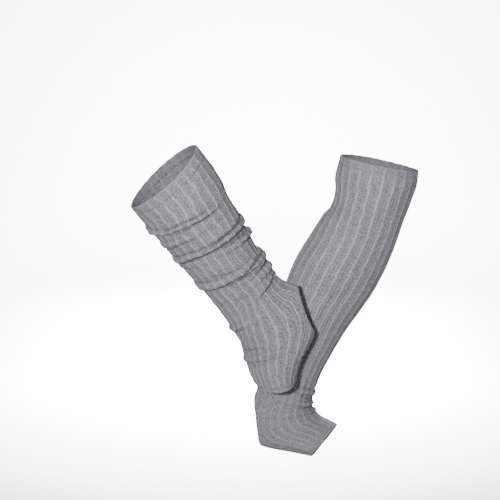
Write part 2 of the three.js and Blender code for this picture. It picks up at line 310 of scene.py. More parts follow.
# Each heel opening lies beyond a nearly flat cut: a point on its edge, the way it faces up from +X, and
# that way's turn about Z, in degrees
WARMERS = {
    "standing": {
        "sections": STANDING_SECTIONS, "rolls": STANDING_ROLLS, "creases": STANDING_CREASES,
        "rib_rows": STANDING_RIBS, "fine": STANDING_FINE,
        "cut": ((-187, -27, -396), 193, -18), "ripple": 0.22, "wander": 0.01,
        "top_ribs": 0.3, "foot_ribs": 0.6, "row_step": 1.7, "dip": 4.0,
        "held": "stretched", "flat": (0.26, 0.5),
        "solids": ("standing_upper_leg", "standing_lower_leg", "standing_foot"),
    },
    "raised": {
        "sections": RAISED_SECTIONS, "rolls": RAISED_ROLLS, "creases": RAISED_CREASES,
        "rib_rows": RAISED_RIBS, "fine": RAISED_FINE,
        "cut": ((-117, -96, -203), 20, 0), "ripple": 0.4, "wander": 0.026,
        "top_ribs": 0.7, "foot_ribs": 1.0, "row_step": 1.45, "dip": 0.0,
        "held": "gathered", "flat": (0.26, 0.5),
        "solids": (
            "raised_upper_leg", "raised_upper_rolls", "raised_middle_leg", "raised_lower_leg", "raised_foot",
        ),
    },
}

# The material's measures of the knit, in mm, with the mesh's UV in ribs round and in centimetres down
UV_MM = 10.0
RIB_WIDTH = 15.0
COURSE_MM = 1.7
WALES_PER_RIB = 6
FINE_LINES_PER_RIB = 3.0

# The knit's unevenness: how each noise is stretched round and down, its scale, detail and roughness, and how
# strongly it shows
NOISE_COLUMNS = ("label", "across", "along", "scale", "detail", "rough", "swing")
NOISE_ROWS = (
    ("flecks", 1.0, 0.75, 0.5, 3.0, 0.65, 2.6),
    ("fibres", 1.3, 0.9, 0.95, 2.0, 0.7, 4.8),
    ("mottle", 1.0, 0.9, 0.22, 1.0, 0.5, 0.7),
    ("patches", 1.0, 0.8, 0.035, 2.0, 0.5, 0.45),
    ("hues", 1.0, 0.6, 0.07, 2.0, 0.5, 1.0),
    ("rib_wobble", 0.5, 0.9, 0.12, 2.0, 0.5, 0.22),
    ("rib_sway", 0.8, 0.8, 0.1, 2.0, 0.5, 2.2),
)

# The stitches' loops: how far their two sides slant, how they swell and how strongly they show
LOOP_SLANT = 0.9
LOOP_SWING = 0.4
LOOP_LEVEL = 0.7
STITCH_SWING = 0.35

# The ribs' and fine lines' reach from their crests, the middle that their painted light swings about (lighter
# on the crests, painted shade between), its strength, and how much of the ribs' painted light the fine lines
# take away
RIDGE_REACH = 0.25
RIDGE_MIDDLE = 0.25
RIDGE_LIGHT = 0.6
RIDGE_LOSS = 0.5
FINE_REACH = 0.34
FINE_MIDDLE = 0.35
FINE_LIGHT = 0.5
FINE_EXTRA = 0.15

# How dark the painted shade of folds, creases, the inner face and the heel edge gets, and the relief of
# stitches and fibres, with its depth in mm
FOLD_SHADE = 0.78
STITCH_RELIEF = 0.8
FIBRE_RELIEF = 0.8
RELIEF_STRENGTH = 0.7
RELIEF_DEPTH = 0.7

# Linear colours of the heather yarn at its darkest and its lightest, with a warm and a blue cast
YARN_DARK = (0.02, 0.02, 0.023, 1)
YARN_WARM = (0.77, 0.755, 0.79, 1)
YARN_BLUE = (0.725, 0.74, 0.845, 1)
YARN_LEVEL = 0.195
HUE_SPLIT = (0.32, 0.68)
YARN_FINISH = {
    "Roughness": 0.92,
    "Specular IOR Level": 0.12,
    "Sheen Weight": 0.08,
    "Sheen Roughness": 0.5,
    "Sheen Tint": (0.85, 0.87, 0.92, 1),
}

# The studio, in metres: a floor that bends up into a wall, and its paint
FLOOR_HEIGHT = -0.56
FLOOR_FRONT = -3.0
FLOOR_HALF_WIDTH = 3.0
FLOOR_BEND = 1.6
BEND_STEPS = 12
WALL_DISTANCE = 3.4
WALL_TOP = 3.0
FLOOR_COLOUR = (0.9, 0.9, 0.9, 1)
FLOOR_ROUGHNESS = 0.9
WORLD_LIGHT = 0.26

# The lights: where each stands and aims, in metres, its size, its power in watts, its spread in degrees, and
# whether the camera would see it
LIGHT_COLUMNS = ("name", "place", "aim", "size", "energy", "spread", "in_view")
LIGHTS = (
    ("key", (-0.42, -1.95, 0.32), (-0.2, -0.06, 0.16), 0.07, 22, 90, True),
    ("front", (0.1, -2.2, 0.2), (-0.17, -0.06, -0.1), 0.9, 10, 180, True),
    ("back", (-0.194, 2.0, -0.3), (-0.17, -0.06, -0.2), 0.5, 9, 60, False),
    ("floor", (-0.2, 0.9, 0.75), (-0.2, 0.9, -0.56), 0.4, 130, 80, True),
    ("wall_left", (-1.0, 1.0, 0.7), (-0.6, 3.0, -0.1), 1.0, 210, 120, True),
    ("wall_right", (0.7, 1.0, 0.7), (0.3, 3.0, -0.1), 1.0, 210, 120, True),
)


def named_rows(columns, rows):
    """Table rows as dictionaries by column name."""
    return [dict(zip(columns, row)) for row in rows]


def smooth_step(low, high, value):
    """0 below low, 1 above high and smooth between."""
    t = np.clip((value - low) / (high - low), 0, 1)
    return t * t * (3 - 2 * t)


def bump(value, width):
    """A smooth bell of height 1 round 0."""
    return np.exp(-((value / width) ** 2))


def smooth_course(down, value, at):
    """A smooth course through values at places down the warmer, read at places a millimetre apart."""
    slope = np.gradient(value, down)
    slope[1:-1] = (value[2:] - value[:-2]) / (down[2:] - down[:-2])
    i = np.clip(np.searchsorted(down, at, side="right") - 1, 0, len(down) - 2)
    span = down[i + 1] - down[i]
    t = np.clip((at - down[i]) / span, 0, 1)
    inside = ((2 * t**3 - 3 * t**2 + 1) * value[i] + (t**3 - 2 * t**2 + t) * span * slope[i]
              + (3 * t**2 - 2 * t**3) * value[i + 1] + (t**3 - t**2) * span * slope[i + 1])
    beyond = np.minimum(at, 0) * slope[0] + np.maximum(at - down[-1], 0) * slope[-1]
    weights = np.exp(-0.5 * (np.arange(-EASE_REACH, EASE_REACH + 1) / EASE_WIDTH) ** 2)
    padded = np.pad(inside + beyond, EASE_REACH, mode="reflect", reflect_type="odd")
    return np.convolve(padded, weights / weights.sum(), mode="valid")


def prepare(warmer):
    """Adds the smooth course of each section and rib column down the warmer's line, and its heel cut."""
    rows = np.array(warmer["sections"], float)
    ribs = np.array(warmer["rib_rows"], float)
    steps = np.linalg.norm(np.diff(rows[:, :3], axis=0), axis=1)
    down = np.concatenate([[0.0], np.cumsum(steps)])
    at = np.arange(-COURSE_MARGIN, int(down[-1]) + COURSE_MARGIN + 2, 1.0)
    course = {name: smooth_course(down, rows[:, k], at) for k, name in enumerate(SECTION_COLUMNS)}
    for k, name in enumerate(RIB_COLUMNS[1:], 1):
        course[name] = smooth_course(ribs[:, 0], ribs[:, k], at)
    warmer["length"] = down[-1]
    warmer["at"] = at
    warmer["course"] = course
    warmer["roll_rows"] = named_rows(ROLL_COLUMNS, warmer["rolls"])
    warmer["crease_rows"] = named_rows(CREASE_COLUMNS, warmer["creases"])
    warmer["fine_rows"] = named_rows(FINE_COLUMNS, warmer["fine"])
    edge, turn, swing = warmer["cut"]
    turn, swing = math.radians(turn), math.radians(swing)
    facing = np.array([math.cos(turn) * math.cos(swing), math.cos(turn) * math.sin(swing), math.sin(turn)])
    warmer["cut_middle"] = np.array(edge, float) + HEEL_CUT_RADIUS * facing
    warmer["cut_axis"] = np.array([-math.sin(swing), math.cos(swing), 0.0])


def read_course(warmer, at, names):
    """The named columns' values at places down the warmer."""
    return {name: np.interp(at, warmer["at"], warmer["course"][name]) for name in names}


def rib_course(warmer, at, rib_angle):
    """The angle round the tube at which a rib of the flat knit runs there."""
    get = read_course(warmer, at, RIB_COLUMNS[1:])
    waves = sum(share * np.sin(at / long + turns * rib_angle) for long, turns, share in RIB_WAVES)
    return (rib_angle + np.radians(get["turn"] - get["draw"] * np.cos(rib_angle))
            + get["widen"] * np.sin(2 * rib_angle) + warmer["wander"] * waves)


def plain_point(warmer, at, angle):
    """Points of the plain tube, before ribs, rolls and creases."""
    get = read_course(warmer, at, SECTION_COLUMNS)
    tilt, away = np.radians(get["tilt"]), np.radians(get["away"])
    across = np.stack([np.cos(tilt), 0 * tilt, np.sin(tilt)], -1)
    towards = np.stack([np.sin(away) * np.sin(tilt), -np.cos(away), -np.sin(away) * np.cos(tilt)], -1)
    middle = np.stack([get["x"], get["y"], get["z"]], -1)
    deep = get["deep"] * np.sin(angle)
    wide = get["wide"] * np.cos(angle) * (1 + get["egg"] * np.sin(angle))
    return middle + across * deep[..., None] + towards * wide[..., None]


def unit(vectors):
    """The vectors at a length of 1."""
    return vectors / np.linalg.norm(vectors, axis=-1, keepdims=True)


def waves_round(angle, waves, starts):
    """The sum of waves round the tube, given as count and height, each from its own start."""
    return sum(height * np.sin(count * angle + start) for (count, height), start in zip(waves, starts))


def between_sides(left, near, right, angle):
    """A value eased round the tube from its values at the left, near and right sides."""
    return near + (right - left) / 2 * np.sin(angle) + ((left + right) / 2 - near) * (1 - np.cos(angle))


def crest_place(roll, angle):
    """How far down the warmer's line a roll's crest passes at each angle, a little unevenly."""
    wander = waves_round(angle, CREST_WAVES, (roll["near"], roll["right"]))
    return between_sides(roll["left"], roll["near"], roll["right"], angle) + wander


def reach_of(roll, part, angle):
    """How far a roll reaches above or below its crest at each angle."""
    reach = roll[part]
    return between_sides(reach, reach * (1 - roll["pinch"]), reach, angle)


def roll_height(roll, angle):
    """A roll's height at each angle, eased between its four sides and a little uneven."""
    s, c = np.sin(angle), np.cos(angle)
    height = np.where(s > 0, roll["r"], roll["l"]) * s**2 + np.where(c > 0, roll["n"], roll["f"]) * c**2
    return height * (1 + waves_round(angle, HEIGHT_WAVES, (HEIGHT_START * roll["near"], roll["left"])))


def rolls(warmer, at, angle):
    """How far the rolls lift the cloth, how far they sag down the warmer, and the painted shade along their
    fold lines.
    """
    lift, sag, painted_hollow_shade = 0 * at, 0 * at, 0 * at
    for roll in warmer["roll_rows"]:
        off = at - crest_place(roll, angle)
        height = roll_height(roll, angle)
        above, below = reach_of(roll, "above", angle), reach_of(roll, "below", angle)
        across = np.clip(off / np.where(off < 0, above, below), -1, 1)
        share = (1 - across**2) ** ROLL_ROUNDNESS
        foot = bump(off - below, FOLD_BELOW["width"])
        head = bump(off + above, FOLD_ABOVE["width"])
        strength = np.clip(height / FULL_ROLL, 0, 1) * roll["line"]
        lift = lift + height * share - strength * (FOLD_BELOW["depth"] * foot + FOLD_ABOVE["depth"] * head)
        sag = sag + ROLL_SAG * height * share
        # Painted shade along the fold lines, darker for higher rolls
        painted_hollow_shade = painted_hollow_shade + strength * (FOLD_BELOW["shade"] * foot + FOLD_ABOVE["shade"] * head)
    return lift, sag, painted_hollow_shade


def degrees_from(middle, angle):
    """How far angles lie from a middle angle, in degrees from -180 to 180."""
    return np.degrees(np.angle(np.exp(1j * (angle - math.radians(middle)))))


def creases(warmer, at, angle):
    """How far the creases sink the cloth, and the painted shade in and round them."""
    sink, painted_hollow_shade = 0 * at, 0 * at
    for crease in warmer["crease_rows"]:
        turn = degrees_from(crease["angle"], angle)
        share = np.clip(1 - (turn / crease["reach"]) ** 2, 0, 1) ** CREASE_FADE
        wander = CREASE_WANDER * np.sin(CREASE_WAVE * turn + crease["at"])
        off = (at - crease["at"] - crease["slope"] * turn - wander) / crease["width"]
        trough = share * bump(off, 1)
        lips = share * (bump(off - LIP_PLACE, 1) + bump(off + LIP_PLACE, 1))
        sink = sink + crease["depth"] * (trough - LIP_SHARE * lips)
        dark = min(abs(crease["depth"]), DARKEST_CREASE)
        # Painted shade in the crease's trough, and a fainter, wider painted shade round it
        painted_hollow_shade = painted_hollow_shade + dark * (CREASE_SHADE * trough + HALO_SHADE * share * bump(off + 1, HALO_WIDTH))
    return sink, painted_hollow_shade


def ripple(at, angle):
    """The slow unevenness of hand-pulled cloth, between about -1 and 1."""
    total = 0
    for k in range(1, RIPPLE_WAVES + 1):
        round_wave = np.sin(k * angle + RIPPLE_TWIST * k * at + RIPPLE_START * k * k)
        total = total + round_wave * np.cos(RIPPLE_DOWN * at * k - RIPPLE_SHIFT * k) / k
    return total / RIPPLE_PEAK


def rib_profile(angle):
    """Height of the ribs and of the fine rib between them at each angle."""
    away = np.abs((angle * RIB_COUNT / FULL_TURN + 0.5) % 1.0 - 0.5)
    main = 1 - smooth_step(RIB_CREST, RIB_FOOT, away)
    fine = 1 - smooth_step(0.0, FINE_RIB_REACH, np.abs(away - 0.5))
    return RIB_HEIGHT * main + FINE_RIB_HEIGHT * fine


def rib_share(warmer, at):
    """How far the ribs stand out at each place: they fade at the two mouths and where the foot is taut."""
    top, low = warmer["top_ribs"], warmer["foot_ribs"]
    from_foot_mouth = warmer["length"] - FOOT_WELT - at
    share = top + (1 - top) * smooth_step(*TOP_FADE, at)
    share = share * (MOUTH_RIBS + (1 - MOUTH_RIBS) * smooth_step(0, MOUTH_FADE, from_foot_mouth))
    return share * (low + (1 - low) * smooth_step(*FOOT_FADE, at))


def fine_share(warmer, at, angle):
    """How much the fine lines between the ribs show at each place."""
    total = FINE_LEAST + 0 * at
    for patch in warmer["fine_rows"]:
        turn = degrees_from(patch["angle"], angle) / patch["round"]
        total = total + patch["share"] * np.exp(-turn**2 - ((at - patch["at"]) / patch["along"]) ** 2)
    return np.clip(total, 0, 1)


def cut_distance(warmer, points):
    """How far points lie outside the heel opening's cut."""
    arm = points - warmer["cut_middle"]
    along = (arm @ warmer["cut_axis"])[..., None] * warmer["cut_axis"]
    return np.linalg.norm(arm - along, axis=-1) - HEEL_CUT_RADIUS


def frame_at(warmer, at, angle):
    """Plain points, their outward direction and the direction down the warmer."""
    small_at, small_angle = 1.0, 0.02
    down = plain_point(warmer, at + small_at, angle) - plain_point(warmer, at - small_at, angle)
    turn = plain_point(warmer, at, angle + small_angle) - plain_point(warmer, at, angle - small_angle)
    return plain_point(warmer, at, angle), unit(np.cross(down, turn)), unit(down)


def cloth_faces(warmer, at, rib_angle):
    """The tube's outer and inner points, and each point's painted shade from the folds and creases, share of
    the ribs and share of the fine lines."""
    angle = rib_course(warmer, at, rib_angle)
    plain, out, down = frame_at(warmer, at, angle)
    lift, sag, painted_hollow_shade = rolls(warmer, at, angle)
    sink, painted_crease_shade = creases(warmer, at, angle)
    from_foot_welt = warmer["length"] - FOOT_WELT - at
    ends = smooth_step(0, TOP_EASE, at - TOP_WELT) * smooth_step(0, FOOT_EASE, from_foot_welt)
    edge = cut_distance(warmer, plain)
    raised = rib_share(warmer, at) * smooth_step(*HEM_FADE, edge)
    slack = lift - sink * ends + warmer["ripple"] * ripple(at, angle) * ends
    rim = HEM_HEIGHT * bump(edge - HEM_PLACE, HEM_WIDTH)
    shift = down * sag[..., None]
    outer = plain + out * (slack + rib_profile(rib_angle) * raised + rim)[..., None] + shift
    inner = plain + out * (slack - CLOTH)[..., None] + shift
    # The folds' and creases' painted shade, faded out towards the welts
    fold = np.clip(painted_hollow_shade + painted_crease_shade, 0, 1) * ends
    return outer, inner, {"fold": fold, "rib": raised, "fine": fine_share(warmer, at, angle)}


def rib_angles():
    """The angles of the knit's columns of points."""
    shares = np.concatenate([rib + np.array(RIB_POINTS) for rib in range(RIB_COUNT)])
    return shares * FULL_TURN / RIB_COUNT


def tube_rows(warmer, start, end, angle):
    """Rows of points down the tube: each one's distance down the warmer's line at each angle. They follow
    the rolls and lie close together."""
    marks = [np.full(len(angle), start)]
    for roll in warmer["roll_rows"]:
        turned = rib_course(warmer, np.full(len(angle), float(roll["near"])), angle)
        for share in ROLL_MARKS:
            part = "above" if share < 0 else "below"
            row = crest_place(roll, turned) + share * reach_of(roll, part, turned)
            within = row.min() > start + END_CLEARANCE and row.max() < end - END_CLEARANCE
            if within and (row - marks[-1]).min() > LEAST_STEP:
                marks.append(row)
    marks.append(np.full(len(angle), end))
    rows = [marks[0]]
    for upper, lower in zip(marks, marks[1:]):
        count = math.ceil((lower - upper).max() / warmer["row_step"])
        rows.extend(upper + (lower - upper) * k / count for k in range(1, count + 1))
    return np.array(rows)


class CutGrid:
    """The tube's grid of points, cut along the heel opening. It gathers the places and angles of the points
    that stay, the cells, each with its column, and the cut's own edges."""

    def __init__(self, edge, at, angle):
        self.edge, self.at, self.angle = edge, at, angle
        self.rows, self.columns = at.shape
        self.places, self.angles, self.cells, self.cut_edges = [], [], [], []
        self.index, self.crossing = {}, {}
        for row in range(self.rows - 1):
            for column in range(self.columns):
                self.add_cell(row, column)
        self.places, self.angles = np.array(self.places), np.array(self.angles)

    def corner(self, row, column):
        """The number of a grid point."""
        key = (row, column % self.columns)
        if key not in self.index:
            self.index[key] = len(self.places)
            self.places.append(self.at[key])
            self.angles.append(self.angle[key[1]])
        return self.index[key]

    def cross(self, a, b):
        """The number of the point where the cut crosses the grid's edge between two corners."""
        one, two = (a[0], a[1] % self.columns), (b[0], b[1] % self.columns)
        key = tuple(sorted((one, two)))
        if key not in self.crossing:
            t = self.edge[one] / (self.edge[one] - self.edge[two])
            angle_a = self.angle[one[1]] + FULL_TURN * (a[1] // self.columns)
            angle_b = self.angle[two[1]] + FULL_TURN * (b[1] // self.columns)
            self.crossing[key] = len(self.places)
            self.places.append(self.at[one] * (1 - t) + self.at[two] * t)
            self.angles.append(angle_a * (1 - t) + angle_b * t)
        return self.crossing[key]

    def add_cell(self, row, column):
        """The part of a grid cell that the cut leaves."""
        corners = [(row, column), (row + 1, column), (row + 1, column + 1), (row, column + 1)]
        kept = [self.edge[a, b % self.columns] > 0 for a, b in corners]
        if not any(kept):
            return
        if all(kept):
            self.cells.append(([self.corner(*c) for c in corners], column))
            return
        ring, cuts = [], []
        for k, corner in enumerate(corners):
            after = (k + 1) % len(corners)
            if kept[k]:
                ring.append(self.corner(*corner))
            if kept[k] != kept[after]:
                point = self.cross(corner, corners[after])
                ring.append(point)
                cuts.append(point)
        if len(ring) >= 3:
            self.cells.append((ring, column))
        if len(cuts) == 2:
            forward = ring[(ring.index(cuts[0]) + 1) % len(ring)] == cuts[1]
            self.cut_edges.append(tuple(cuts) if forward else tuple(reversed(cuts)))


class Skin:
    """A mesh's faces, with one UV for each face corner."""

    def __init__(self):
        self.faces, self.uvs = [], []

    def add(self, face, uvs, turned=False):
        """Adds a face, turned round where it looks the other way."""
        self.faces.append(face[::-1] if turned else face)
        self.uvs.extend(uvs[::-1] if turned else uvs)


def make_mesh(name, points, skin, shares, flat_faces):
    """A smooth mesh in metres, flat where it lies against its neighbour, with named values for each point."""
    mesh = bpy.data.meshes.new(name)
    mesh.from_pydata((points * MM).tolist(), [], skin.faces)
    layer = mesh.uv_layers.new(name="knit")
    layer.data.foreach_set("uv", np.array(skin.uvs, np.float32).ravel())
    for label, values in shares.items():
        attribute = mesh.attributes.new(label, "FLOAT", "POINT")
        attribute.data.foreach_set("value", np.array(values, np.float32))
    smooth = np.ones(len(mesh.polygons), bool)
    smooth[flat_faces] = False
    mesh.polygons.foreach_set("use_smooth", smooth)
    mesh.update()
    piece = bpy.data.objects.new(name, mesh)
    bpy.context.scene.collection.objects.link(piece)
    return piece


def knit_uv(at, angle):
    """Ribs round and centimetres down, which the knit's material counts its stitches by."""
    return angle * RIB_COUNT / FULL_TURN, at / UV_MM


def add_rim(skin, cut_edges, middle_of, count, uv_of):
    """The rounded edge of the heel opening, in two strips from the outer to the inner face."""
    for a, b in cut_edges:
        strips = (
            [a, middle_of[a], middle_of[b], b],
            [middle_of[a], a + count, b + count, middle_of[b]],
        )
        uv_a, uv_b = uv_of(a, a), uv_of(b, a)
        for face in strips:
            skin.add(face, [uv_a, uv_a, uv_b, uv_b])


def add_end(skin, ring, count, uv_of, turned):
    """The flat face at one end of the tube, which lies against a welt."""
    for a, b in zip(ring, ring[1:] + ring[:1]):
        uv_a, uv_b = uv_of(a, a), uv_of(b, a)
        skin.add([a, b, b + count, a + count], [uv_a, uv_b, uv_b, uv_a], turned)


def knit_tube(name, warmer):
    """A warmer's ribbed tube between its welts, with its heel opening and a wall of real thickness."""
    start, end = TOP_WELT + SEAM, warmer["length"] - FOOT_WELT - SEAM
    columns = rib_angles()
    at = tube_rows(warmer, start, end, columns)
    turned = rib_course(warmer, at, np.broadcast_to(columns, at.shape))
    grid = CutGrid(cut_distance(warmer, plain_point(warmer, at, turned)), at, columns)
    places, angles = grid.places, grid.angles
    outer, inner, outside = cloth_faces(warmer, places, angles)
    count = len(places)
    skin = Skin()

    def uv_at(vertex, near_angle):
        full_turns = np.round((near_angle - angles[vertex]) / FULL_TURN)
        return knit_uv(places[vertex], angles[vertex] + FULL_TURN * full_turns)

    def uv_of(vertex, neighbour):
        return uv_at(vertex, angles[neighbour])

    for ring, column in grid.cells:
        uvs = [uv_at(vertex, columns[column]) for vertex in ring]
        skin.add(ring, uvs)
        skin.add([vertex + count for vertex in ring], uvs, turned=True)

    # The cut edge is rounded, so a line of points stands out between its outer and inner edge
    cut_points = sorted({v for pair in grid.cut_edges for v in pair})
    middle_of = {v: 2 * count + k for k, v in enumerate(cut_points)}
    wall_middle = (outer[cut_points] + inner[cut_points]) / 2
    rim = wall_middle + unit(warmer["cut_middle"] - wall_middle) * RIM_ROUNDING * CLOTH
    add_rim(skin, grid.cut_edges, middle_of, count, uv_of)

    # The inner face is painted darker, as shade, and shows half of the outer face's painted shade and rib
    # light
    inside = {
        "fold": outside["fold"] * INSIDE_PAINTED_SHARE + INSIDE_SHADE,
        "rib": outside["rib"] * INSIDE_PAINTED_SHARE,
        "fine": outside["fine"],
    }
    # The heel opening's rim is painted darker, as shade
    rim_shares = {"fold": RIM_SHADE, "rib": 0.0, "fine": 0.0}
    shares = {
        label: np.concatenate([outside[label], inside[label], np.full(len(cut_points), share)])
        for label, share in rim_shares.items()
    }
    first_end_face = len(skin.faces)
    for row, turned in ((0, False), (grid.rows - 1, True)):
        ring = [grid.corner(row, column) for column in range(grid.columns)]
        add_end(skin, ring, count, uv_of, turned)
    flat_faces = range(first_end_face, len(skin.faces))
    return make_mesh(name, np.concatenate([outer, inner, rim]), skin, shares, flat_faces)


def welt_profile(length, mouth_first):
    """A welt's section: places along it from its mouth and heights over the plain cloth, all round."""
    half = (WELT_EXTRA + CLOTH) / 2
    centre = (WELT_EXTRA - CLOTH) / 2
    long = length - half
    profile = []
    for k in range(MOUTH_STEPS + 1):
        turn = math.pi * k / MOUTH_STEPS
        profile.append((half * (1 - math.sin(turn)), centre + half * math.cos(turn)))
    inner = [(half + long * k / INNER_STEPS, -CLOTH) for k in range(1, INNER_STEPS + 1)]
    rise = WELT_EXTRA / (OUTER_STEPS - 1)
    outer = [(length - long * k / OUTER_STEPS, rise * k) for k in range(OUTER_STEPS)]
    loop = profile + inner + outer
    return loop if mouth_first else [(-place, height) for place, height in loop]


def welt_row(warmer, mouth, length, mouth_first, place, height):
    """One line of a welt's points round the tube, and their shares for the material."""
    angle = rib_angles()
    from_seam = 1 - abs(place) / length
    uneven = WELT_WANDER * np.sin(WELT_WAVES * angle + WELT_START) + WELT_SCALLOP * np.cos(RIB_COUNT * angle)
    dip = warmer["dip"] * (0.5 + 0.5 * np.cos(angle)) * from_seam if mouth_first else 0
    at = mouth + place + uneven * from_seam + dip
    turned = rib_course(warmer, at, angle)
    plain, out, down = frame_at(warmer, at, turned)
    lift, sag, _ = rolls(warmer, at, turned)
    outside = height >= 0
    raised = rib_share(warmer, at)
    standing_out = height + lift + rib_profile(angle) * raised * outside
    points = plain + out * standing_out[..., None] + down * sag[..., None]
    # A painted highlight along the mouth's edge on the outer face; painted shade on the inner face, deeper
    # inside
    painted_edge_highlight = -EDGE_LIGHT * float(smooth_step(*EDGE_LIGHT_REACH, from_seam))
    fold = painted_edge_highlight if outside else INSIDE_SHADE * -height / CLOTH
    shares = {
        "fold": np.full(len(angle), fold),
        "rib": raised if outside else raised * INSIDE_PAINTED_SHARE,
        "fine": fine_share(warmer, at, turned),
    }
    return points, shares


def knit_welt(name, warmer, mouth, length, mouth_first):
    """The firm band at a mouth: a closed section carried round the tube."""
    profile = welt_profile(length, mouth_first)
    lines = [welt_row(warmer, mouth, length, mouth_first, place, height) for place, height in profile]
    points = np.concatenate([row for row, _ in lines])
    shares = {label: np.concatenate([line[label] for _, line in lines]) for label in lines[0][1]}
    angle = rib_angles()
    columns, rows = len(angle), len(profile)
    seam_row = max(range(rows), key=lambda row: (abs(profile[row][0]), -profile[row][1]))
    skin = Skin()
    for j in range(rows):
        k = (j + 1) % rows
        for i in range(columns):
            n = (i + 1) % columns
            next_angle = angle[n] + (0 if n else FULL_TURN)
            corners = ((j, i, angle[i]), (k, i, angle[i]), (k, n, next_angle), (j, n, next_angle))
            face = [row * columns + column for row, column, _ in corners]
            uvs = [knit_uv(mouth + profile[row][0], turn) for row, _, turn in corners]
            skin.add(face, uvs, turned=mouth_first)
    seam_faces = range(seam_row * columns, (seam_row + 1) * columns)
    return make_mesh(name, points, skin, shares, seam_faces)


class Nodes:
    """Small helper that adds and links a material's nodes."""

    def __init__(self, name):
        self.material = bpy.data.materials.new(name)
        self.material.use_nodes = True
        self.tree = self.material.node_tree
        self.shader = self.tree.nodes["Principled BSDF"]

    def add(self, kind, **values):
        node = self.tree.nodes.new(kind)
        for name, value in values.items():
            setattr(node, name, value)
        return node

    def put(self, socket, value):
        """Links a socket to a node's output, or sets it to a value."""
        if isinstance(value, bpy.types.NodeSocket):
            self.tree.links.new(value, socket)
        else:
            socket.default_value = value

    def math(self, operation, *inputs, clamp=False):
        node = self.add("ShaderNodeMath", operation=operation, use_clamp=clamp)
        for socket, value in zip(node.inputs, inputs):
            self.put(socket, value)
        return node.outputs[0]

    def mix(self, factor, a, b):
        node = self.add("ShaderNodeMix", data_type="RGBA")
        self.put(node.inputs["Factor"], factor)
        self.put(node.inputs["A"], a)
        self.put(node.inputs["B"], b)
        return node.outputs["Result"]

    def steps(self, value, low, high):
        """0 at low, 1 at high, eased between."""
        node = self.add("ShaderNodeMapRange", interpolation_type="SMOOTHSTEP")
        self.put(node.inputs["Value"], value)
        node.inputs["From Min"].default_value = low
        node.inputs["From Max"].default_value = high
        return node.outputs["Result"]

    def wave(self, value):
        return self.math("SINE", self.math("MULTIPLY", value, FULL_TURN))

    def swing(self, value, centre, share):
        """The value's distance from its centre, scaled."""
        return self.math("MULTIPLY", self.math("SUBTRACT", value, centre), share)

    def share(self, label):
        """The named value that the mesh gives each point."""
        return self.add("ShaderNodeAttribute", attribute_name=label).outputs["Fac"]


class KnitNodes(Nodes):
    """Nodes that know where they are on the knit: ribs round, and millimetres round and down."""

    def __init__(self, name):
        super().__init__(name)
        self.noises = {row["label"]: row for row in named_rows(NOISE_COLUMNS, NOISE_ROWS)}
        parts = self.add("ShaderNodeSeparateXYZ")
        self.put(parts.inputs[0], self.add("ShaderNodeUVMap", uv_map="knit").outputs["UV"])
        self.ribs = parts.outputs["X"]
        self.round_mm = self.math("MULTIPLY", self.ribs, RIB_WIDTH)
        self.down_mm = self.math("MULTIPLY", parts.outputs["Y"], UV_MM)

    def noise(self, label):
        """One of the knit's noises, between 0 and 1."""
        row = self.noises[label]
        place = self.add("ShaderNodeCombineXYZ")
        self.put(place.inputs[0], self.math("MULTIPLY", self.round_mm, row["across"]))
        self.put(place.inputs[1], self.math("MULTIPLY", self.down_mm, row["along"]))
        node = self.add("ShaderNodeTexNoise")
        self.put(node.inputs["Vector"], place.outputs[0])
        node.inputs["Scale"].default_value = row["scale"]
        node.inputs["Detail"].default_value = row["detail"]
        node.inputs["Roughness"].default_value = row["rough"]
        return node.outputs["Fac"]

    def uneven(self, label):
        """One of the knit's noises, round 0 and as strong as it shows."""
        return self.swing(self.noise(label), 0.5, self.noises[label]["swing"])


def rib_ridge(n):
    """1 on the ribs' crests and 0 between the ribs, whose edges wobble a little."""
    from_crest = n.math("PINGPONG", n.math("ADD", n.ribs, n.uneven("rib_wobble")), 0.5)
    return n.math("SUBTRACT", 1.0, n.steps(from_crest, 0.0, RIDGE_REACH))


def stitch_pattern(n, ridge):
    """The stitches: the ribs are columns of V-shaped loops, and between them the loops' backs show."""
    wale = n.math("MULTIPLY", n.ribs, float(WALES_PER_RIB))
    across = n.math("PINGPONG", wale, 0.5)
    course = n.math("DIVIDE", n.down_mm, COURSE_MM)
    loops = n.wave(n.math("ADD", course, n.math("MULTIPLY", across, LOOP_SLANT)))
    backs = n.wave(n.math("ADD", course, n.math("MULTIPLY", n.math("FLOOR", wale), 0.5)))
    column = n.wave(across)
    front = n.math("MULTIPLY", n.math("ADD", n.math("MULTIPLY", loops, LOOP_SWING), LOOP_LEVEL), column)
    back = n.math("MULTIPLY", n.math("ADD", backs, 1.0), 0.5)
    between = n.math("SUBTRACT", 1.0, ridge)
    return n.math("ADD", n.math("MULTIPLY", front, ridge), n.math("MULTIPLY", back, between))


def painted_rib_light(n, ridge, fine, fine_share_here):
    """The painted highlight on the crests of the ribs and of the fine lines between them, with painted shade
    between, here more and there less.
    """
    sway = n.math("ADD", 1.0, n.uneven("rib_sway"))
    fewer = n.math("SUBTRACT", 1.0, n.math("MULTIPLY", fine_share_here, RIDGE_LOSS))
    # Crests painted lighter as highlight, the ground between them painted darker as shade
    ridges = n.math("MULTIPLY", n.swing(ridge, RIDGE_MIDDLE, RIDGE_LIGHT), fewer)
    shown = n.math("ADD", fine_share_here, FINE_EXTRA)
    lines = n.math("MULTIPLY", n.swing(fine, FINE_MIDDLE, FINE_LIGHT), shown)
    return n.math("MULTIPLY", n.math("ADD", ridges, lines), n.math("MULTIPLY", n.share("rib"), sway))


